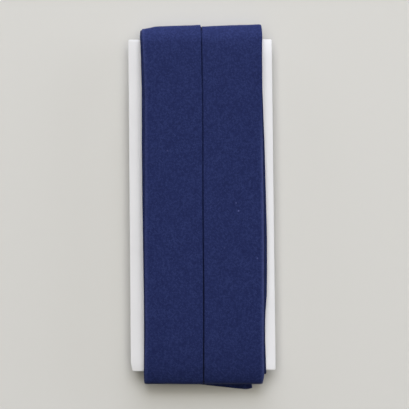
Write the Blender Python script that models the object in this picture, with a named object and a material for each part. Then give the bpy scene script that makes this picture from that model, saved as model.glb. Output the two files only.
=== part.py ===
"""A card of bias tape, lying on its back with the seam of the tape facing up.

A cotton tape, both long edges folded in to a centre seam, is wound end over end round a white card.
The wound tape is one ring that the card passes through. The outer end of the tape lies loose under
the ring and its cut corner looks out past the lower bend.

Metres, +Z up. +Y runs up the card, +X to its right. The origin is under the middle of the whole thing.
"""

import math
from collections import namedtuple

import bmesh
import bpy

MM = 0.001

# Card
CARD_WIDTH = 48.7 * MM
CARD_LENGTH = 111.8 * MM
CARD_THICK = 0.7 * MM
CARD_CORNER_RADIUS = 0.5 * MM
WORN_CORNER_LENGTH = 3.0 * MM
WORN_CORNER_INSET = 0.55 * MM

# Wound tape
TURNS = 10
TURN_PITCH = 0.425 * MM
CLEARANCE = 0.3 * MM
UPPER_SLACK = 0.4 * MM
BACK_SHARE = 0.3
FOLD_ROUNDING = 0.18 * MM
SEAM_WIDTH = 0.5 * MM
SEAM_DEPTH = 0.45 * MM
PASS_STEPS = 14
BEND_STEPS = 12

# Loose end
END_THICK = 1.0 * MM
END_START_X = 0.35 * MM
END_CURVED_LENGTH = 70.0 * MM
END_TURN = math.radians(6.0)
END_SEAM_DEPTH = 0.35 * MM
END_STRAIGHT_STEPS = 4
END_CURVED_STEPS = 10
TIP_REACH = 63.0 * MM

# Worked out from the sizes above
RING_DEPTH = TURNS * TURN_PITCH
INNER_HALF = CARD_THICK / 2 + CLEARANCE
OUTER_HALF = INNER_HALF + RING_DEPTH
BEND_Y = (CARD_LENGTH + UPPER_SLACK) / 2 + CLEARANCE - INNER_HALF
RING_REACH = BEND_Y + OUTER_HALF
RING_Y = (TIP_REACH - RING_REACH) / 2
CARD_Y = RING_Y - UPPER_SLACK / 2
CARD_Z = END_THICK + CLEARANCE + OUTER_HALF

Edge = namedtuple("Edge", "y top_left top_right pile_left pile_right seam")
Group = namedtuple("Group", "inner_share left right")
Sag = namedtuple("Sag", "x short")
Cut = namedtuple("Cut", "across past")
Shoulder = namedtuple("Shoulder", "near near_length far far_length")

# Edges of the wound tape in mm, from the middle of the ring: the top turn's two folded edges, how far
# the turns under it reach on each side, and the seam. One row for each place along the card.
EDGES = (
    Edge(-58.0, -20.10, 20.48, -20.20, 21.28, 0.12),
    Edge(-51.0, -19.75, 20.55, -19.95, 21.13, 0.20),
    Edge(-43.0, -19.35, 20.47, -19.82, 21.06, 0.32),
    Edge(-30.0, -19.36, 20.65, -19.75, 21.76, 0.44),
    Edge(-15.0, -19.31, 20.85, -19.85, 22.04, 0.46),
    Edge(1.0, -19.15, 20.85, -19.93, 21.83, 0.50),
    Edge(20.0, -18.95, 20.75, -19.95, 21.54, 0.55),
    Edge(38.0, -18.78, 20.72, -19.75, 20.98, 0.62),
    Edge(54.0, -19.40, 20.86, -20.05, 20.97, 0.56),
    Edge(57.0, -19.50, 21.00, -20.30, 21.10, 0.55),
)

# Groups of turns that keep one edge, from the outside in: the share of the ring's depth where the group
# ends, and how much of the pile's reach it takes up on the left and on the right.
GROUPS = (
    Group(0.90, 0.00, 0.00),
    Group(0.70, 1.00, 0.35),
    Group(0.46, 0.45, 1.00),
    Group(0.22, 0.85, 0.60),
    Group(0.00, 0.30, 0.95),
)

# How far the upper bend falls short across the tape, in mm: low at the left corner, a step at the seam.
SAGS = (
    Sag(-20.4, 1.70),
    Sag(-19.4, 1.10),
    Sag(-18.0, 1.00),
    Sag(-16.7, 0.70),
    Sag(-15.0, 0.35),
    Sag(-10.0, 0.15),
    Sag(0.3, 0.00),
    Sag(0.8, 0.50),
    Sag(3.0, 0.40),
    Sag(7.0, 0.20),
    Sag(12.0, 0.05),
    Sag(20.4, 0.00),
    Sag(21.1, 0.40),
)

# How far the front of the wound tape sinks towards each bend, in mm: a slow fall over the far length and
# a quicker one right before the bend. The back rises by only a share of it, BACK_SHARE.
UPPER_SHOULDER = Shoulder(0.45, 3.0, 0.45, 30.0)
LOWER_SHOULDER = Shoulder(0.70, 5.0, 1.10, 45.0)

# Cut of the loose end in mm: how far each place across the tape runs past a square cut.
TIP_CORNER = Cut(18.9, 1.05)
CUTS = (
    Cut(-20.0, -2.20),
    Cut(0.0, 0.60),
    Cut(4.0, 0.90),
    TIP_CORNER,
    Cut(20.0, 0.55),
)

# Where each half of the outer face has a point, from left to right: closest where the bend is uneven.
LEFT_FACE_SHARES = (0.0, 0.06, 0.12, 0.18, 0.26, 0.38, 0.6, 0.8, 1.0)
RIGHT_FACE_SHARES = (0.0, 0.13, 0.3, 0.55, 0.8, 0.94, 1.0)


def material(name, color, roughness):
    """A Principled material of one colour, linear RGB."""
    made = bpy.data.materials.new(name)
    made.use_nodes = True
    shader = made.node_tree.nodes["Principled BSDF"]
    shader.inputs["Base Color"].default_value = (*color, 1.0)
    shader.inputs["Roughness"].default_value = roughness
    return made


def add_object(name, bm, finish):
    """Turn a finished bmesh into a named object with its material."""
    mesh = bpy.data.meshes.new(name)
    bm.to_mesh(mesh)
    bm.free()
    mesh.materials.append(finish)
    made = bpy.data.objects.new(name, mesh)
    bpy.context.collection.objects.link(made)
    return made


def read_row(rows, column, at):
    """A column's value in metres at a place in mm along the first column, straight between two rows."""
    at = min(max(at, rows[0][0]), rows[-1][0])
    for low, high in zip(rows, rows[1:]):
        if at <= high[0]:
            share = (at - low[0]) / (high[0] - low[0])
            return (getattr(low, column) * (1 - share) + getattr(high, column) * share) * MM


def shoulder_drop(y):
    """How far the ring's outer face lies below its highest place, for a place along the card."""
    shoulder = UPPER_SHOULDER if y > 0 else LOWER_SHOULDER
    inside = (BEND_Y - abs(y)) / MM
    far = max(1 - inside / shoulder.far_length, 0.0)
    return (shoulder.near * math.exp(-inside / shoulder.near_length) + shoulder.far * far * far) * MM


def skin(bm, loops):
    """Faces between each closed loop of points and the next."""
    for near, far in zip(loops, loops[1:]):
        for here, ahead in zip(range(len(near)), (*range(1, len(near)), 0)):
            bm.faces.new((near[here], near[ahead], far[ahead], far[here]))


def ring_profile(y):
    """Section of the wound tape as (x, depth) points, for a place along the card."""
    edge = Edge(y, *(read_row(EDGES, column, y / MM) for column in Edge._fields[1:]))
    seam_left = edge.seam - SEAM_WIDTH / 2
    seam_right = edge.seam + SEAM_WIDTH / 2
    fold_left = edge.top_left + FOLD_ROUNDING
    fold_right = edge.top_right - FOLD_ROUNDING
    face = []
    for share in LEFT_FACE_SHARES:
        face.append((fold_left + share * (seam_left - fold_left), RING_DEPTH))
    face.append((edge.seam, RING_DEPTH - SEAM_DEPTH))
    for share in RIGHT_FACE_SHARES:
        face.append((seam_right + share * (fold_right - seam_right), RING_DEPTH))
    right, left = [], []
    outer_depth = RING_DEPTH - FOLD_ROUNDING
    for group in GROUPS:
        inner_depth = group.inner_share * RING_DEPTH
        right_x = edge.top_right + group.right * (edge.pile_right - edge.top_right)
        left_x = edge.top_left + group.left * (edge.pile_left - edge.top_left)
        right += [(right_x, outer_depth), (right_x, inner_depth)]
        left += [(left_x, outer_depth), (left_x, inner_depth)]
        outer_depth = inner_depth
    return face + right + left[::-1]


def ring_station(y, angle):
    """Loop of points of the ring where its section stands at y and faces outwards at angle."""
    along = y + OUTER_HALF * math.cos(angle)
    outward_z = math.sin(angle)
    sink = shoulder_drop(along) * outward_z * abs(outward_z) * (1 if outward_z > 0 else BACK_SHARE)
    upper = max(math.cos(angle), 0.0)
    loop = []
    for x, depth in ring_profile(along):
        outward_share = depth / RING_DEPTH
        short = read_row(SAGS, "short", x / MM) * upper * outward_share
        loop.append((
            x,
            RING_Y + y + (INNER_HALF + depth) * math.cos(angle) - short,
            CARD_Z + (INNER_HALF + depth) * outward_z - sink * outward_share,
        ))
    return loop


def build_tape(finish):
    """The wound tape: its section carried up the front, over, down the back and under.

    The steps along the card are shortest near the bends, where the tape curves.
    """
    quarter = math.pi / 2
    pass_y = [-BEND_Y * math.cos(math.pi * step / PASS_STEPS) for step in range(PASS_STEPS)]
    stations = []
    for y in pass_y:
        stations.append((y, quarter))
    for step in range(BEND_STEPS):
        stations.append((BEND_Y, quarter - math.pi * step / BEND_STEPS))
    for y in pass_y:
        stations.append((-y, -quarter))
    for step in range(BEND_STEPS):
        stations.append((-BEND_Y, -quarter - math.pi * step / BEND_STEPS))
    bm = bmesh.new()
    loops = []
    for y, angle in stations:
        loops.append([bm.verts.new(point) for point in ring_station(y, angle)])
    skin(bm, loops + loops[:1])
    made = add_object("tape", bm, finish)
    made.data.shade_smooth()
    made.data.set_sharp_from_angle(angle=math.radians(40))


def build_card(finish):
    """The card: a thin plate with rounded corners, the lower left one worn in from the side."""
    bm = bmesh.new()
    bmesh.ops.create_cube(bm, size=1.0)
    bmesh.ops.scale(bm, verts=bm.verts, vec=(CARD_WIDTH, CARD_LENGTH, CARD_THICK))
    worn_y = WORN_CORNER_LENGTH - CARD_LENGTH / 2
    near_end = (CARD_LENGTH - WORN_CORNER_LENGTH) / 2
    bmesh.ops.bisect_plane(
        bm, geom=[*bm.verts, *bm.edges, *bm.faces], plane_co=(0, worn_y, 0), plane_no=(0, 1, 0)
    )
    for vert in bm.verts:
        if vert.co.x < 0 and vert.co.y < -near_end:
            vert.co.x += WORN_CORNER_INSET
    corners = []
    for edge in bm.edges:
        upright = abs(edge.verts[0].co.z - edge.verts[1].co.z) > CARD_THICK / 2
        if upright and abs(edge.verts[0].co.y) > near_end:
            corners.append(edge)
    bmesh.ops.bevel(
        bm, geom=corners, offset=CARD_CORNER_RADIUS, segments=3, profile=0.5, affect="EDGES", material=-1
    )
    bmesh.ops.translate(bm, verts=bm.verts, vec=(0, CARD_Y, CARD_Z))
    add_object("card", bm, finish)


def end_centre(distance):
    """Middle of the loose end and its heading, at a distance from the start of its curved stretch."""
    radius = END_CURVED_LENGTH / END_TURN
    turned = max(distance, 0.0) / radius
    tip_to_middle = TIP_CORNER.across * math.sin(END_TURN) + TIP_CORNER.past * math.cos(END_TURN)
    start_y = RING_Y - TIP_REACH + tip_to_middle * MM + radius * math.sin(END_TURN)
    x = END_START_X - radius * (1 - math.cos(turned))
    y = start_y - radius * math.sin(turned) - min(distance, 0.0)
    return x, y, turned


def build_tape_end(finish):
    """The loose end: a flat strip on the back, straight and then curving to its cut end."""
    lip = SEAM_WIDTH / 2 / MM
    across_tape = sorted([cut.across for cut in CUTS] + [-lip, lip])
    straight = RING_Y + BEND_Y - end_centre(0.0)[1]
    distances = []
    for step in range(END_STRAIGHT_STEPS):
        distances.append(straight * (step / END_STRAIGHT_STEPS - 1))
    for step in range(END_CURVED_STEPS + 1):
        distances.append(END_CURVED_LENGTH * step / END_CURVED_STEPS)
    bm = bmesh.new()
    loops = []
    for distance in distances:
        x, y, turned = end_centre(distance)
        under, top = [], []
        for across in across_tape:
            past = 0.0
            if distance == distances[-1]:
                past = read_row(CUTS, "past", across)
            place_x = x + across * MM * math.cos(turned) - past * math.sin(turned)
            place_y = y - across * MM * math.sin(turned) - past * math.cos(turned)
            under.append(bm.verts.new((place_x, place_y, END_SEAM_DEPTH if across == 0.0 else 0.0)))
            top.append(bm.verts.new((place_x, place_y, END_THICK)))
        loops.append(under + top[::-1])
    skin(bm, loops)
    start, finish_cut = loops[0], loops[-1]
    for here in range(len(across_tape) - 1):
        over = -1 - here
        bm.faces.new((start[here + 1], start[here], start[over], start[over - 1]))
        bm.faces.new((finish_cut[here], finish_cut[here + 1], finish_cut[over - 1], finish_cut[over]))
    add_object("tape_end", bm, finish)


for old in list(bpy.data.objects):
    bpy.data.objects.remove(old, do_unlink=True)

cotton = material("navy cotton", (0.022, 0.031, 0.105), 0.85)
board = material("white cardboard", (0.80, 0.80, 0.79), 0.6)

build_card(board)
build_tape(cotton)
build_tape_end(cotton)
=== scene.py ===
"""A card of bias tape on a pale surface: navy cotton tape wound end over end round a white card."""

import math
from collections import namedtuple

import bmesh
import bpy
from mathutils import Matrix, Vector, noise


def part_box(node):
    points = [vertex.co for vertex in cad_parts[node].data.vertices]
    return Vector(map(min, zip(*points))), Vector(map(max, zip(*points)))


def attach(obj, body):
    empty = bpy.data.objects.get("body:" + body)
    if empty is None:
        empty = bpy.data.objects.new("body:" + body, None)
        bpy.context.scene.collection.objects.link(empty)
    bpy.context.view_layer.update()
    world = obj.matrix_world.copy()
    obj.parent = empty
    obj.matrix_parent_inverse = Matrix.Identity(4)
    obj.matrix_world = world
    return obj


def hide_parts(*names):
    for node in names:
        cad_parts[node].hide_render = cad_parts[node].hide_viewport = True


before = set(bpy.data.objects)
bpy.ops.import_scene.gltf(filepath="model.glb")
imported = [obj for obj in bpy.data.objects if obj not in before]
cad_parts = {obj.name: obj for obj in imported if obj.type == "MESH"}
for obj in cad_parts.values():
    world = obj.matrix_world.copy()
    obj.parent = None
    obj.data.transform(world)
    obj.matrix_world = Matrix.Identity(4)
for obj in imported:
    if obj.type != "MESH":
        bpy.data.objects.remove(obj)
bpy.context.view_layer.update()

# The card: a rectangle of white uncoated board, 0.7 mm thick, cut with a guillotine. The tape is wound
# round its middle, so only its two side strips show. It is a little bowed, its cut rims are softened by
# handling, and its lower left corner has been knocked in.

MM = 0.001
CARD_CUTS = 16
CORNER_RADIUS = 0.5 * MM
CORNER_STEPS = 4
WORN_LENGTH = 3.0 * MM
WORN_INSET = 0.55 * MM
RIM_ANGLE = math.radians(60)
RIM_ROUNDING = 0.1 * MM
RIM_STEPS = 2
SHARP_ANGLE = math.radians(50)

# How far the card is out of true: each side leans in towards the head and out towards the foot, the
# head's left corner stands out, and the board is bowed in slow waves and sags at both ends.
CARD_TAPER = 0.11 * MM
CARD_SKEW = 0.34 * MM
CARD_BOW = 0.12 * MM
BOW_WAVES_PER_METRE = (20, 25)
BOW_SEED = 3.0
END_SAG_SHARE = 0.4


def linear(colour):
    """An sRGB hex colour as linear RGBA."""
    parts = [int(colour[at:at + 2], 16) / 255 for at in (1, 3, 5)]
    curved = [part / 12.92 if part <= 0.04045 else ((part + 0.055) / 1.055) ** 2.4 for part in parts]
    return (*curved, 1.0)


def add_node(tree, kind, inputs, **settings):
    """Add a shader node, change its settings, and feed its inputs with values or other nodes' outputs."""
    made = tree.nodes.new("ShaderNode" + kind)
    for name, value in settings.items():
        setattr(made, name, value)
    for socket, value in inputs.items():
        if isinstance(value, bpy.types.NodeSocket):
            tree.links.new(value, made.inputs[socket])
        else:
            made.inputs[socket].default_value = value
    return made


def start_material(name, **values):
    """A material and its Principled shader, with the shader's plain values set on its own sockets."""
    made = bpy.data.materials.new(name)
    made.use_nodes = True
    shader = made.node_tree.nodes["Principled BSDF"]
    for socket, value in values.items():
        shader.inputs[socket.replace("_", " ")].default_value = value
    return made, made.node_tree, shader


def add_piece(name, bm, materials):
    """Turn a finished bmesh into an object that rides on the part's one body."""
    mesh = bpy.data.meshes.new(name)
    bm.to_mesh(mesh)
    bm.free()
    for finish in materials:
        mesh.materials.append(finish)
    piece = bpy.data.objects.new(name, mesh)
    bpy.context.collection.objects.link(piece)
    mesh.shade_smooth()
    mesh.set_sharp_from_angle(angle=SHARP_ANGLE)
    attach(piece, "root")
    return piece


def smooth_step(share):
    """0 before the start, 1 past the end, and a soft rise between."""
    share = min(max(share, 0.0), 1.0)
    return share * share * (3 - 2 * share)


card_low, card_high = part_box("card")
card_middle = (card_low + card_high) / 2
card_size = card_high - card_low

bm = bmesh.new()
bmesh.ops.create_cube(bm, size=1.0, matrix=Matrix.Diagonal((*card_size, 1.0)))
worn_y = WORN_LENGTH - card_size.y / 2
for cut_y in (worn_y, *(card_size.y * (step / CARD_CUTS - 0.5) for step in range(1, CARD_CUTS))):
    whole = [*bm.verts, *bm.edges, *bm.faces]
    bmesh.ops.bisect_plane(bm, geom=whole, plane_co=(0, cut_y, 0), plane_no=(0, 1, 0))
end_y = card_size.y / 2 - WORN_LENGTH / 2
for vert in bm.verts:
    if vert.co.x < 0 and vert.co.y < -end_y:
        vert.co.x += WORN_INSET
corners = []
for edge in bm.edges:
    first, second = (vert.co for vert in edge.verts)
    if abs(first.z - second.z) > card_size.z / 2 and abs(first.y) > end_y:
        corners.append(edge)
bmesh.ops.bevel(
    bm, geom=corners, offset=CORNER_RADIUS, segments=CORNER_STEPS, profile=0.5, affect="EDGES", material=-1
)
rims = [edge for edge in bm.edges if edge.is_manifold and edge.calc_face_angle() > RIM_ANGLE]
bmesh.ops.bevel(
    bm, geom=rims, offset=RIM_ROUNDING, segments=RIM_STEPS, profile=0.5, affect="EDGES", material=-1
)
for face in bm.faces:
    face.material_index = 0 if abs(face.normal.z) > 0.5 else 1
for vert in bm.verts:
    along = vert.co.y / (card_size.y / 2)
    sideways = vert.co.x / (card_size.x / 2)
    vert.co.x -= CARD_TAPER * along * sideways
    vert.co.y += CARD_SKEW * max(along, 0) * (1 - sideways) / 2
    bow_place = (vert.co.x * BOW_WAVES_PER_METRE[0], vert.co.y * BOW_WAVES_PER_METRE[1], BOW_SEED)
    vert.co.z += CARD_BOW * (noise.noise(Vector(bow_place)) - END_SAG_SHARE * along * along)
bmesh.ops.translate(bm, verts=bm.verts, vec=card_middle)

# Uncoated white board: matt, with a faint cloudiness and fine paper fibres.
BOARD_WHITE = "#e8e8ea"
BOARD_GREY = "#e0e0e2"
CLOUDS_PER_MM = 0.12
FIBRE_SIZE = 0.35 * MM

board, tree, shader = start_material("uncoated white board", Roughness=0.75, IOR=1.5)
place = add_node(tree, "TexCoord", {})
cloud = add_node(tree, "TexNoise", {
    "Vector": place.outputs["Object"], "Scale": CLOUDS_PER_MM / MM, "Detail": 3.0,
})
fibre = add_node(tree, "TexNoise", {
    "Vector": place.outputs["Object"], "Scale": 1 / FIBRE_SIZE, "Detail": 4.0, "Roughness": 0.7,
})
mixed = add_node(tree, "Mix", {
    "Factor": cloud.outputs["Fac"], "A": linear(BOARD_GREY), "B": linear(BOARD_WHITE),
}, data_type="RGBA")
bump = add_node(tree, "Bump", {"Height": fibre.outputs["Fac"], "Strength": 0.25, "Distance": 0.02 * MM})
tree.links.new(mixed.outputs["Result"], shader.inputs["Base Color"])
tree.links.new(bump.outputs["Normal"], shader.inputs["Normal"])

# The board's cut edge: greyer pulp, drawn out in thin layers through its thickness.
PULP_GREY = "#cfcdc8"
LAYERS_PER_MM = (0.5, 0.5, 8)

pulp, tree, shader = start_material("cut board edge", Roughness=0.9, IOR=1.5)
place = add_node(tree, "TexCoord", {})
layers = add_node(tree, "Mapping", {
    "Vector": place.outputs["Object"], "Scale": [layers_per_mm / MM for layers_per_mm in LAYERS_PER_MM],
})
grain = add_node(tree, "TexNoise", {"Vector": layers.outputs["Vector"], "Scale": 1.0, "Detail": 3.0})
mixed = add_node(tree, "Mix", {
    "Factor": grain.outputs["Fac"], "A": linear(PULP_GREY), "B": linear(BOARD_WHITE),
}, data_type="RGBA")
bump = add_node(tree, "Bump", {"Height": grain.outputs["Fac"], "Strength": 0.5, "Distance": 0.05 * MM})
tree.links.new(mixed.outputs["Result"], shader.inputs["Base Color"])
tree.links.new(bump.outputs["Normal"], shader.inputs["Normal"])

card = add_piece("card_board", bm, (board, pulp))
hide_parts("card")

# The tape: a bias-cut strip of navy cotton lawn, 80 mm wide, both long edges pressed in to meet at a
# centre seam that faces outwards. It is wound end over end round the card, ten turns and a loose last
# pass on the back, each turn a little out of line with the one below.

TURNS = 10
CLEARANCE = 0.3 * MM
HALF_WIDTH = 20.0 * MM
FOLDED_THICK = 0.31 * MM
PLY = 0.15 * MM
SEAM_GAP = 0.5 * MM
INNER_END_Y = 50.0 * MM
END_START_X = 0.35 * MM
END_CURVED_LENGTH = 86.0 * MM
END_TURN = math.radians(6.0)

# How full the folds are, how far the seam's lips and the folds lift off the turn below, and how far the
# cloth under the seam sinks. The waves are slow unevenness of the front and of the lips.
FOLD_BULGE = 0.015 * MM
FOLD_LIFT = 0.05 * MM
FOLD_LIFT_WIDTH = 1.3 * MM
LIP_LIFT = 0.13 * MM
LIP_WIDTH = 2.4 * MM
SEAM_WANDER = 0.06 * MM
SEAM_SINK = 1.1 * MM
SEAM_SINK_WIDTH = 0.6 * MM
BEND_SINK_LOSS = 0.6
WAVE_HEIGHT = 0.05 * MM
WAVES_PER_METRE = (60, 45)
WAVE_SEED = 0.5
LIP_WAVES_PER_METRE = 70
LIP_SEEDS = (7, 9)

# Rows of faces: along a hidden pass and a shown one, each with its bend, and round a fold. The shares say
# where the flap's rows of points lie between the seam and the fold.
INNER_STEPS = (16, 8)
OUTER_STEPS = (36, 24)
FOLD_STEPS = 4
END_CURVED_STEPS = 28
FLAP_SHARES = (0.0, 0.02, 0.06, 0.14, 0.3, 0.5, 0.68, 0.78, 0.86, 0.92, 0.965, 1.0)

Edge = namedtuple("Edge", "y top_left top_right pile_left pile_right seam")
Lean = namedtuple("Lean", "left right_low right_high")
Sag = namedtuple("Sag", "x short")
Cut = namedtuple("Cut", "across past flare")
Shoulder = namedtuple("Shoulder", "near near_length far far_length")

# Edges of the wound tape in mm, from the middle of the ring: the top turn's two folds, how far the turns
# under it reach on each side, and the seam. One row for each place along the card.
EDGES = (
    Edge(-60.3, -19.92, 20.15, -20.05, 20.40, 0.12),
    Edge(-58.6, -19.90, 20.52, -20.05, 21.05, 0.12),
    Edge(-57.2, -19.87, 20.52, -20.05, 21.45, 0.14),
    Edge(-51.0, -19.68, 20.42, -19.92, 21.25, 0.20),
    Edge(-43.0, -19.35, 20.47, -19.82, 21.06, 0.32),
    Edge(-30.0, -19.36, 20.65, -19.75, 21.76, 0.44),
    Edge(-15.0, -19.31, 20.85, -19.85, 22.04, 0.46),
    Edge(1.0, -19.15, 20.85, -19.93, 21.83, 0.50),
    Edge(20.0, -18.95, 20.75, -19.95, 21.54, 0.66),
    Edge(38.0, -18.78, 20.72, -19.75, 20.98, 0.72),
    Edge(54.0, -19.40, 20.86, -20.05, 20.97, 0.56),
    Edge(57.0, -19.50, 21.10, -20.30, 21.20, 0.60),
)

# How much of that reach each pass takes up. The passes run by turns down the back and up the front, from
# the innermost on the back to the top one. On the right the share differs between the card's lower part
# and the rest, and changes from one to the other over the two places below, in mm.
LEANS = (
    Lean(0.30, 0.30, 0.50),
    Lean(0.20, 0.70, 0.60),
    Lean(0.10, 1.00, 0.90),
    Lean(0.80, 1.00, 0.30),
    Lean(0.20, 0.80, 0.40),
    Lean(0.00, 0.85, 0.70),
    Lean(0.60, 0.10, 0.30),
    Lean(0.70, 0.30, 0.20),
    Lean(0.30, 0.20, 0.50),
    Lean(0.20, 0.10, 0.55),
    Lean(0.50, 0.00, 0.60),
    Lean(0.10, 0.05, 1.00),
    Lean(0.60, 0.00, 0.50),
    Lean(0.70, 0.00, 0.20),
    Lean(0.20, 0.10, 0.30),
    Lean(0.30, 0.00, 0.40),
    Lean(0.60, 0.00, 0.10),
    Lean(1.00, 0.00, 0.00),
    Lean(0.50, 0.00, 0.20),
    Lean(0.00, 0.00, 0.00),
)
LEAN_CHANGE_Y = (-46.0, -34.0)

# How far each bend falls short across the tape, in mm: the upper one is low at its left corner and steps
# down at the seam, the lower one is tucked in at both corners and fullest near the right one.
UPPER_SAGS = (
    Sag(-20.4, 1.20),
    Sag(-19.4, 1.00),
    Sag(-18.0, 0.80),
    Sag(-16.7, 0.54),
    Sag(-15.0, 0.17),
    Sag(-10.0, 0.00),
    Sag(0.3, -0.20),
    Sag(0.8, 0.40),
    Sag(3.0, 0.24),
    Sag(7.0, 0.08),
    Sag(12.0, -0.08),
    Sag(17.0, -0.10),
    Sag(20.2, -0.28),
    Sag(20.9, 0.05),
    Sag(21.1, 0.40),
)
LOWER_SAGS = (
    Sag(-20.1, 0.45),
    Sag(-19.6, 0.16),
    Sag(-18.0, 0.13),
    Sag(-16.0, 0.15),
    Sag(-10.0, 0.02),
    Sag(-4.5, -0.08),
    Sag(0.7, -0.10),
    Sag(9.0, -0.16),
    Sag(18.0, -0.27),
    Sag(19.7, -0.30),
    Sag(20.0, -0.10),
    Sag(20.3, 0.25),
)

# How far the front of the wound tape sinks towards each bend, in mm: a slow fall over the far length and
# a quicker one right before the bend. The back, near the table, rises by only a share of it.
UPPER_SHOULDER = Shoulder(0.45, 3.0, 0.45, 30.0)
LOWER_SHOULDER = Shoulder(0.70, 5.0, 1.10, 45.0)
BACK_SHARE = 0.3

# Cut of the loose end in mm: how far each place across the tape runs past a square cut, and how far the
# open corner of its fold springs out to the right.
TIP_CORNER = Cut(18.9, 1.05, 0.10)
CUTS = (
    Cut(-20.0, -2.20, 0.00),
    Cut(0.0, 0.60, 0.00),
    Cut(4.0, 0.90, 0.00),
    TIP_CORNER,
    Cut(20.0, 0.40, 0.95),
)


def read_row(rows, column, at):
    """A column's value in metres at a place in mm along the first column, straight between two rows."""
    at = min(max(at, rows[0][0]), rows[-1][0])
    for low, high in zip(rows, rows[1:]):
        if at <= high[0]:
            share = (at - low[0]) / (high[0] - low[0])
            return (getattr(low, column) * (1 - share) + getattr(high, column) * share) * MM


tape_low, tape_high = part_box("tape")
end_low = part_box("tape_end")[0]
middle_y, middle_z = (tape_low.y + tape_high.y) / 2, card_middle.z
outer_half = (tape_high.z - tape_low.z) / 2
bend_y = (tape_high.y - tape_low.y) / 2 - outer_half
half_thick = FOLDED_THICK / 2 + FOLD_BULGE
first_height = card_size.z / 2 + CLEARANCE + half_thick
front_pitch = (outer_half - half_thick - first_height) / (TURNS - 1)
back_pitch = (middle_z - end_low.z - half_thick - first_height) / TURNS
top_pass = 2 * TURNS - 1
end_pass = 2 * TURNS


def pass_height(number):
    """How far a pass lies from the card's middle plane. Even passes are on the back, odd ones in front."""
    return first_height + number // 2 * (back_pitch, front_pitch)[number % 2]


def bend_after(number):
    """Axis and radius of the bend after a pass: the lower one after the back, the upper after the front."""
    near, far = pass_height(number), pass_height(number + 1)
    radius = (near + far) / 2
    upward = (-1, 1)[number % 2]
    reach = bend_y + first_height + number // 2 * front_pitch
    axis = Vector((0, middle_y + upward * (reach - radius), middle_z + upward * (near - far) / 2))
    return axis, radius


def folded_section():
    """Half of the folded tape's outer skin as (x, height): from the seam to the fold and back under it."""
    fold_x = HALF_WIDTH - FOLDED_THICK / 2
    flap, body = [], []
    for share in FLAP_SHARES:
        x = SEAM_GAP / 2 + share * (fold_x - SEAM_GAP / 2)
        thick = FOLDED_THICK / 2 + FOLD_BULGE * smooth_step(1 - (fold_x - x) / FOLD_LIFT_WIDTH)
        flap.append((x, thick))
        body.append((x, -thick))
    arc = []
    for step in range(1, FOLD_STEPS):
        angle = math.pi * (0.5 - step / FOLD_STEPS)
        radius = FOLDED_THICK / 2 + FOLD_BULGE
        arc.append((fold_x + radius * math.cos(angle), radius * math.sin(angle)))
    return flap + arc + body[::-1]


half_section = folded_section()
section = [(-x, height) for x, height in half_section] + half_section[::-1]

# The winding starts as one row of points across the innermost pass, from cut edge to cut edge, and grows
# row by row. Each point keeps its place in the flat cloth: across it and along it. A row keeps the passes
# before and after it and how much of the bend between them is done, from 0 to 1.
Row = namedtuple("Row", "verts before after turned")

bm = bmesh.new()
across = bm.verts.layers.float.new("across")
along = bm.verts.layers.float.new("along")
verts = []
cut_width = 0.0
for spot, (x, height) in enumerate(section):
    if spot:
        cut_width += math.dist(section[spot - 1], section[spot])
    vert = bm.verts.new((x, middle_y + INNER_END_Y, middle_z - first_height - height))
    vert[across] = cut_width
    verts.append(vert)
fold_across = verts[len(FLAP_SHARES) + FOLD_STEPS // 2 - 1][across]
rows = [Row(verts, 0, 0, 0.0)]
rim = [bm.edges.new(pair) for pair in zip(verts, verts[1:])]
cut_length = 0.0


def about(centre, angle, axis):
    """A turn about an axis through a point."""
    return Matrix.Translation(centre) @ Matrix.Rotation(angle, 4, axis) @ Matrix.Translation(-centre)


def carry(move, length, before, after, turned):
    """Let the tape grow by one row of faces: its free rim is extruded, and the new rim is moved."""
    global rim, cut_length
    cut_length += length
    grown = bmesh.ops.extrude_edge_only(bm, edges=rim)["geom"]
    verts = [item for item in grown if isinstance(item, bmesh.types.BMVert)]
    rim = [item for item in grown if isinstance(item, bmesh.types.BMEdge)]
    bmesh.ops.transform(bm, matrix=move, verts=verts)
    for vert in verts:
        vert[along] = cut_length
    rows.append(Row(verts, before, after, turned))


def run_straight(start_y, finish_y, steps, number):
    """Carry the tape along the card, in steps that are shortest near the bends."""
    shares = [0.5 - 0.5 * math.cos(math.pi * step / steps) for step in range(steps + 1)]
    for low, high in zip(shares, shares[1:]):
        step_y = (finish_y - start_y) * (high - low)
        carry(Matrix.Translation((0, step_y, 0)), abs(step_y), number, number, 0.0)


# The top turn, which shows, starts half way round the last lower bend.
y = middle_y + INNER_END_Y
for number in range(end_pass):
    if number == top_pass:
        top_turn_starts = cut_length - radius * math.pi / 2
    straight_steps, bend_steps = OUTER_STEPS if number >= top_pass - 1 else INNER_STEPS
    centre, radius = bend_after(number)
    run_straight(y, centre.y, straight_steps, number)
    for step in range(bend_steps):
        turn = math.pi / bend_steps
        carry(about(centre, -turn, "X"), radius * turn, number, number + 1, (step + 1) / bend_steps)
    y = centre.y

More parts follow.
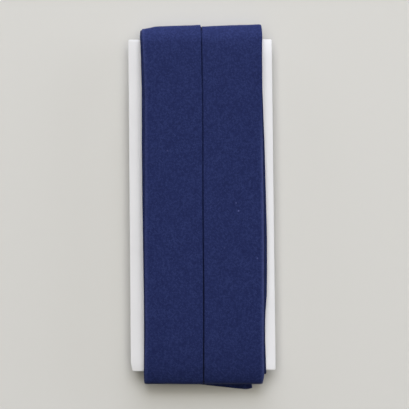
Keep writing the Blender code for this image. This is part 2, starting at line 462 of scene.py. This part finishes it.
# The loose last pass: straight down the back, then in a slow curve to the left on the surface.
curve_radius = END_CURVED_LENGTH / END_TURN
tip_to_middle = TIP_CORNER.across * math.sin(END_TURN) + TIP_CORNER.past * math.cos(END_TURN)
curve_y = end_low.y + tip_to_middle * MM + curve_radius * math.sin(END_TURN)
run_straight(y, curve_y, INNER_STEPS[0], end_pass)
curve_centre = Vector((-curve_radius, curve_y, 0))
for step in range(END_CURVED_STEPS):
    turn = END_TURN / END_CURVED_STEPS
    carry(about(curve_centre, -turn, "Z"), curve_radius * turn, end_pass, end_pass, 0.0)
heading = Vector((-math.sin(END_TURN), -math.cos(END_TURN), 0))
rightwards = Vector((math.cos(END_TURN), -math.sin(END_TURN), 0))
tip = rows[-1].verts
tip_middle = (tip[0].co + tip[-1].co) / 2
for vert in tip:
    at = (vert.co - tip_middle).dot(rightwards) / MM
    vert.co += heading * read_row(CUTS, "past", at) + rightwards * read_row(CUTS, "flare", at)


def side_shifts(number, y):
    """How far a pass's left fold, seam and right fold lie from those of a straight, even tape."""
    if number == end_pass:
        return END_START_X, END_START_X, END_START_X
    at = (y - middle_y) / MM
    edge = Edge(at, *(read_row(EDGES, column, at) for column in Edge._fields[1:]))
    lean = LEANS[number]
    upper = smooth_step((at - LEAN_CHANGE_Y[0]) / (LEAN_CHANGE_Y[1] - LEAN_CHANGE_Y[0]))
    right_share = lean.right_low + (lean.right_high - lean.right_low) * upper
    shift = lean.left * (edge.pile_left - edge.top_left)
    shift += right_share * (edge.pile_right - edge.top_right)
    return edge.top_left + HALF_WIDTH + shift, edge.seam + shift, edge.top_right - HALF_WIDTH + shift


def shoulder_drop(y):
    """How far the top turn lies below the highest place of the wound tape."""
    shoulder = UPPER_SHOULDER if y > middle_y else LOWER_SHOULDER
    inside = (bend_y - abs(y - middle_y)) / MM
    far = max(1 - inside / shoulder.far_length, 0.0)
    return (shoulder.near * math.exp(-inside / shoulder.near_length) + shoulder.far * far * far) * MM


def seam_opening(row, y):
    """0 where a row's flaps sink into the seam with the cloth under them, 1 where they stay up, on top."""
    if row.before < top_pass - 1:
        return 0.0
    if row.before == top_pass - 1 and row.turned == 0:
        return smooth_step(0.5 - (y - middle_y) / bend_y / 2)
    return 1.0


# Each row goes from the straight, even winding to its real place: sideways to the edges of its pass, in
# where a bend or the front falls short, down into the seam, and up at the seam's lips and at the folds.
for row in rows:
    row_y = sum(vert.co.y for vert in row.verts) / len(row.verts)
    starts, ends = side_shifts(row.before, row_y), side_shifts(row.after, row_y)
    left, seam, right = (start + (end - start) * row.turned for start, end in zip(starts, ends))
    bent = math.sin(math.pi * row.turned)
    outward_y = bent if row.before % 2 else -bent
    front = math.cos(math.pi * row.turned) * (1 if row.before % 2 else -1)
    share = (min(row.before, row.after) // 2 + 1) / TURNS
    drop = shoulder_drop(row_y) * share * front * abs(front)
    sags = UPPER_SAGS if row.before % 2 else LOWER_SAGS
    wound = 0 if row.before == end_pass else 1 - smooth_step(row.turned * (row.after == end_pass))
    open_share = seam_opening(row, row_y)
    for vert in row.verts:
        from_cut = min(vert[across], cut_width - vert[across])
        side = abs(vert.co.x) / HALF_WIDTH
        sink = SEAM_SINK * share * wound * math.exp(-(vert.co.x / SEAM_SINK_WIDTH) ** 2)
        sink *= 1 - BEND_SINK_LOSS * bent
        if from_cut < fold_across:
            sink *= 1 - open_share
        vert.co.y -= sink * outward_y
        vert.co.z -= sink * front
        vert.co.x += seam + ((left if vert.co.x < 0 else right) - seam) * side
        vert.co.y -= outward_y * read_row(sags, "short", vert.co.x / MM) * share
        if row.after < end_pass or front > 0:
            vert.co.z -= drop * (1 if front > 0 else BACK_SHARE)
        if front > 0:
            wave_place = (vert.co.x * WAVES_PER_METRE[0], vert.co.y * WAVES_PER_METRE[1], WAVE_SEED)
            vert.co.z += WAVE_HEIGHT * noise.noise(Vector(wave_place)) * share * front
        if row.before >= top_pass:
            lip = 1 - smooth_step(from_cut / LIP_WIDTH)
            fold = 1 - smooth_step((1 - side) * HALF_WIDTH / FOLD_LIFT_WIDTH)
            lip_seed = LIP_SEEDS[0] if vert[across] < cut_width / 2 else LIP_SEEDS[1]
            uneven = noise.noise(Vector((0, vert[along] * LIP_WAVES_PER_METRE, lip_seed)))
            lift = (LIP_LIFT * lip + FOLD_LIFT * fold) * (1 + uneven) * wound
            vert.co.y += lift * outward_y
            vert.co.z += lift * front
            if from_cut == 0:
                vert.co.x += SEAM_WANDER * uneven

# The cloth's own map, in metres across and along it, and then its thickness.
cloth_map = bm.loops.layers.uv.new("cloth")
for face in bm.faces:
    for loop in face.loops:
        loop[cloth_map].uv = (loop.vert[across], loop.vert[along])
bmesh.ops.solidify(bm, geom=bm.faces[:], thickness=PLY)

# Navy cotton lawn, piece-dyed and pressed: matt, with the soft sheen of short fibres, and yarns a little
# uneven in thickness and shade. Its yarns run at 45 degrees to the tape. They are really about 0.25 mm
# apart, too fine to show, so they are drawn 0.42 mm apart.
YARN = 0.42 * MM
BIAS = math.radians(45)
SHEEN_BLUE = "#8f9cd0"
NAVY_DARK = "#0c1847"
NAVY = "#162253"
NAVY_LIGHT = "#253162"
DYE_PLACES = (0.05, 0.52, 1.0)
YARN_CONTRAST = 0.62
PATCH_CONTRAST = 0.45
PATCHES_PER_YARN = 0.09

# The cloth near a pressed fold, by the distance in mm past the fold: how bright it is on the turns under
# the top one, which is painted shade where the top turn's fold hangs over them, and how much paler the top
# turn's colour turns along its left and its right fold, which is partly wear of the pressed folds and
# partly painted highlight where they catch the light. The table reaches FOLD_BAND to each side. The right
# fold is paler below the first of the two places in Y, and in full below the second.
FOLD_WEAR_AND_HIGHLIGHT_BLUE = "#8995d9"
FOLD_WEAR_AND_HIGHLIGHT_FROM_Y = (34.0 * MM, 16.0 * MM)
FOLD_BAND = 2.0 * MM
FoldShade = namedtuple("FoldShade", "past buried left right")
FOLD_SHADES = (
    FoldShade(-1.4, 1.00, 0.00, 0.00),
    FoldShade(-0.9, 0.80, 0.02, 0.03),
    FoldShade(-0.5, 0.70, 0.05, 0.09),
    FoldShade(-0.2, 0.65, 0.03, 0.11),
    FoldShade(0.0, 0.65, 0.00, 0.05),
    FoldShade(0.5, 0.65, 0.00, 0.00),
    FoldShade(1.2, 1.00, 0.00, 0.00),
)

# Little light gets down between the seam's lips to the cloth under them, and that shade is painted into
# its colour: it grows darker towards the seam.
SEAM_SHADE = 0.3
SEAM_SHADE_WIDTH = 1.2 * MM

# Specks of pale lint on the top turn: places in mm from the middle of the ring, and how much they cover
# at their middle. A speck is full out to the first size and gone at the second.
LINT_BLUE = "#8993d8"
LINT_SIZES = (0.12 * MM, 0.36 * MM)
LINT_FLATNESS = (1, 1, 0.1)
Lint = namedtuple("Lint", "x y cover")
LINT = (
    Lint(11.6, 0.5, 0.18),
    Lint(12.4, -2.2, 0.30),
    Lint(18.6, -18.2, 0.18),
    Lint(7.6, -14.6, 0.09),
    Lint(-11.3, 18.3, 0.13),
)

cotton, tree, shader = start_material(
    "pressed navy cotton lawn", Roughness=0.85, IOR=1.5, Specular_IOR_Level=0.25,
    Sheen_Weight=0.1, Sheen_Roughness=0.4, Sheen_Tint=linear(SHEEN_BLUE),
)

# The weave: rounded yarns crossing on the bias, each crossing in its own shade, over soft patches.
cloth = add_node(tree, "UVMap", {}, uv_map="cloth")
turned = add_node(tree, "Mapping", {
    "Vector": cloth.outputs["UV"], "Rotation": (0, 0, BIAS), "Scale": (1 / YARN, 1 / YARN, 1),
})
yarns = add_node(tree, "SeparateXYZ", {"Vector": turned.outputs["Vector"]})
profiles = []
for axis in ("X", "Y"):
    wave = add_node(tree, "Math", {0: yarns.outputs[axis], 1: math.pi}, operation="MULTIPLY")
    wave = add_node(tree, "Math", {0: wave.outputs[0]}, operation="SINE")
    profiles.append(wave.outputs[0])
over = add_node(tree, "Math", {0: profiles[0], 1: profiles[1]}, operation="MULTIPLY")
height = add_node(tree, "Math", {0: over.outputs[0]}, operation="ABSOLUTE")
cell = add_node(tree, "VectorMath", {0: turned.outputs["Vector"]}, operation="FLOOR")
crossing = add_node(tree, "TexWhiteNoise", {"Vector": cell.outputs["Vector"]}, noise_dimensions="2D")
patches = add_node(tree, "TexNoise", {
    "Vector": turned.outputs["Vector"], "Scale": PATCHES_PER_YARN, "Detail": 3.0, "Roughness": 0.6,
})
shade = add_node(tree, "Math", {0: crossing.outputs["Value"], 1: YARN_CONTRAST}, operation="MULTIPLY")
shade = add_node(tree, "Math", {
    0: patches.outputs["Fac"], 1: PATCH_CONTRAST, 2: shade.outputs[0],
}, operation="MULTIPLY_ADD")

# Where on the tape: the distance from the nearer cut edge, the place by the fold, the half, the turn.
uv = add_node(tree, "SeparateXYZ", {"Vector": cloth.outputs["UV"]})
from_lip = add_node(tree, "Math", {0: uv.outputs["X"], 1: cut_width / 2}, operation="PINGPONG")
by_fold = add_node(tree, "MapRange", {
    "Value": from_lip.outputs[0],
    "From Min": fold_across - FOLD_BAND,
    "From Max": fold_across + FOLD_BAND,
})
right_half = add_node(tree, "Math", {0: uv.outputs["X"], 1: cut_width / 2}, operation="GREATER_THAN")
top_turn = add_node(tree, "Math", {0: uv.outputs["Y"], 1: top_turn_starts}, operation="GREATER_THAN")
position = add_node(tree, "TexCoord", {})
place = add_node(tree, "SeparateXYZ", {"Vector": position.outputs["Object"]})
# How far down the card the right fold's paleness, wear and painted highlight, reaches: none near the head,
# in full lower down.
wear_and_highlight_down = add_node(tree, "MapRange", {
    "Value": place.outputs["Y"],
    "From Min": middle_y + FOLD_WEAR_AND_HIGHLIGHT_FROM_Y[0],
    "From Max": middle_y + FOLD_WEAR_AND_HIGHLIGHT_FROM_Y[1],
})
# Painted shade under the seam's lips: the colour's gain falls from 1 to SEAM_SHADE at the seam.
seam_painted_shade = add_node(tree, "MapRange", {
    "Value": from_lip.outputs[0],
    "From Min": cut_width / 2 - SEAM_SHADE_WIDTH,
    "From Max": cut_width / 2,
    "To Min": 1.0,
    "To Max": SEAM_SHADE,
})

# The dye's three shades and the fold table's three columns become one colour ramp each.
fold_places = [0.5 + fold.past * MM / FOLD_BAND / 2 for fold in FOLD_SHADES]
stops = [(shade, zip(DYE_PLACES, (linear(NAVY_DARK), linear(NAVY), linear(NAVY_LIGHT))))]
for column in FoldShade._fields[1:]:
    greys = [(*[getattr(fold, column)] * 3, 1) for fold in FOLD_SHADES]
    stops.append((by_fold, zip(fold_places, greys)))
ramps = []
for driver, colours in stops:
    ramp = add_node(tree, "ValToRGB", {"Fac": driver.outputs[0]})
    elements = ramp.color_ramp.elements
    for spot, (at, colour) in enumerate(colours):
        element = elements[spot] if spot < 2 else elements.new(at)
        element.position = at
        element.color = colour
    ramps.append(ramp.outputs["Color"])
dye, painted_fold_shade, wear_and_highlight_left, wear_and_highlight_right = ramps

# The dye, darkened by painted shade on the folds under the top turn and under the seam's lips, then made
# paler along the top turn's folds by wear and a painted highlight.
turns = add_node(tree, "Mix", {
    "Factor": top_turn.outputs[0], "A": painted_fold_shade, "B": (1, 1, 1, 1),
}, data_type="RGBA")
gain = add_node(tree, "Math", {0: turns.outputs["Result"], 1: seam_painted_shade.outputs[0]}, operation="MULTIPLY")
dyed = add_node(tree, "VectorMath", {0: dye, "Scale": gain.outputs[0]}, operation="SCALE")
wear_and_highlight_right = add_node(tree, "Math", {0: wear_and_highlight_right, 1: wear_and_highlight_down.outputs[0]}, operation="MULTIPLY")
wear_and_highlight = add_node(tree, "Mix", {
    "Factor": right_half.outputs[0], "A": wear_and_highlight_left, "B": wear_and_highlight_right.outputs[0],
}, data_type="RGBA")
wear_and_highlight = add_node(tree, "Math", {0: wear_and_highlight.outputs["Result"], 1: top_turn.outputs[0]}, operation="MULTIPLY")
# The paler blue mixed in along the top turn's folds: partly wear, partly painted highlight.
wear_and_highlight_mix = add_node(tree, "Mix", {
    "Factor": wear_and_highlight.outputs[0], "A": dyed.outputs["Vector"], "B": linear(FOLD_WEAR_AND_HIGHLIGHT_BLUE),
}, data_type="RGBA")

# The lint lies over it all, each speck a flat round spot on the front.
finish = wear_and_highlight_mix.outputs["Result"]
for speck in LINT:
    centre = (speck.x * MM, middle_y + speck.y * MM, tape_high.z)
    offset = add_node(tree, "VectorMath", {
        0: position.outputs["Object"], 1: centre,
    }, operation="SUBTRACT")
    flat = add_node(tree, "VectorMath", {0: offset.outputs[0], 1: LINT_FLATNESS}, operation="MULTIPLY")
    away = add_node(tree, "VectorMath", {0: flat.outputs[0]}, operation="LENGTH")
    cover = add_node(tree, "MapRange", {
        "Value": away.outputs["Value"],
        "From Min": LINT_SIZES[1],
        "From Max": LINT_SIZES[0],
        "To Max": speck.cover,
    })
    mixed = add_node(tree, "Mix", {
        "Factor": cover.outputs[0], "A": finish, "B": linear(LINT_BLUE),
    }, data_type="RGBA")
    finish = mixed.outputs["Result"]
bump = add_node(tree, "Bump", {"Height": height.outputs[0], "Strength": 0.35, "Distance": 0.05 * MM})
tree.links.new(finish, shader.inputs["Base Color"])
tree.links.new(bump.outputs["Normal"], shader.inputs["Normal"])

tape = add_piece("bias_tape", bm, (cotton,))
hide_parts("tape", "tape_end")

# The stage, which isn't part of the model: a table top, the light and the camera. The table top is a
# pale grey painted board, matt, a hair below the loose end of the tape.

TABLE_GREY = "#d2d1cd"
TABLE_SIZE = 6.0
TABLE_GAP = 0.02 * MM

bpy.ops.mesh.primitive_plane_add(size=TABLE_SIZE, location=(0, 0, -TABLE_GAP))
table = bpy.context.object
table.name = "table_top"
table_paint, tree, shader = start_material("matt grey paint", Roughness=0.7)
shader.inputs["Base Color"].default_value = linear(TABLE_GREY)
table.data.materials.append(table_paint)

# The light: soft cool panels like windows at the card's head and to its sides, and weak warm ones above.
# Angles are in degrees, sizes in metres, powers in watts. An azimuth runs from the head rightwards.
DAYLIGHT = "#f0f3ff"
ROOM_LIGHT = "#fffbee"
ROOM_LIGHT_STRENGTH = 0.0366
Panel = namedtuple("Panel", "name colour elevation azimuth distance size power")
PANELS = (
    Panel("low_window", DAYLIGHT, 12, 4, 3.0, (1.6, 1.0), 59.9),
    Panel("low_right", DAYLIGHT, 12, 68, 3.0, (2.2, 1.0), 24.5),
    Panel("low_left", DAYLIGHT, 12, -40, 3.0, (1.6, 1.0), 12.0),
    Panel("high_window", DAYLIGHT, 52, 1, 3.0, (2.0, 1.6), 41.6),
    Panel("right_fill", ROOM_LIGHT, 50, 60, 3.0, (2.0, 1.6), 3.0),
    Panel("left_fill", ROOM_LIGHT, 50, -60, 3.0, (2.0, 1.6), 3.4),
    Panel("ceiling_light", ROOM_LIGHT, 76, 10, 1.6, (1.6, 1.2), 11.4),
    Panel("rear_ceiling_light", ROOM_LIGHT, 80, 180, 1.8, (1.6, 1.2), 4.3),
)

for panel in PANELS:
    lamp = bpy.data.lights.new(panel.name, "AREA")
    lamp.shape = "RECTANGLE"
    lamp.size, lamp.size_y = panel.size
    lamp.energy = panel.power
    lamp.color = linear(panel.colour)[:3]
    elevation, azimuth = math.radians(panel.elevation), math.radians(panel.azimuth)
    flat = math.cos(elevation)
    towards = Vector((flat * math.sin(azimuth), flat * math.cos(azimuth), math.sin(elevation)))
    hung = bpy.data.objects.new(panel.name, lamp)
    hung.location = panel.distance * towards
    hung.rotation_euler = (-towards).to_track_quat("-Z", "Y").to_euler()
    bpy.context.collection.objects.link(hung)

# What the rest of the room gives back, an even and weak warm light.
world = bpy.data.worlds.new("studio")
world.use_nodes = True
background = world.node_tree.nodes["Background"]
background.inputs["Color"].default_value = linear(ROOM_LIGHT)
background.inputs["Strength"].default_value = ROOM_LIGHT_STRENGTH
bpy.context.scene.world = world
bpy.context.scene.view_settings.view_transform = "Standard"

# The camera looks straight down. The card lies a little askew and off the middle of the picture, so the
# camera is turned and moved for it.
CAMERA_HEIGHT = 0.9
CAMERA_CLIP_END = 20.0
VIEW_WIDTH = 139.3 * MM
CARD_LEANS = math.radians(0.57)
CARD_OFF_CENTRE = Vector((-0.98, -0.07, 0)) * MM

camera_data = bpy.data.cameras.new("camera")
camera_data.sensor_fit = "HORIZONTAL"
camera_data.lens = camera_data.sensor_width * CAMERA_HEIGHT / VIEW_WIDTH
camera_data.clip_end = CAMERA_CLIP_END
camera = bpy.data.objects.new("camera", camera_data)
camera.rotation_euler = (0, 0, -CARD_LEANS)
off_centre = Matrix.Rotation(-CARD_LEANS, 3, "Z") @ CARD_OFF_CENTRE
camera.location = (card_middle.x - off_centre.x, middle_y - off_centre.y, CAMERA_HEIGHT)
bpy.context.collection.objects.link(camera)
bpy.context.scene.camera = camera
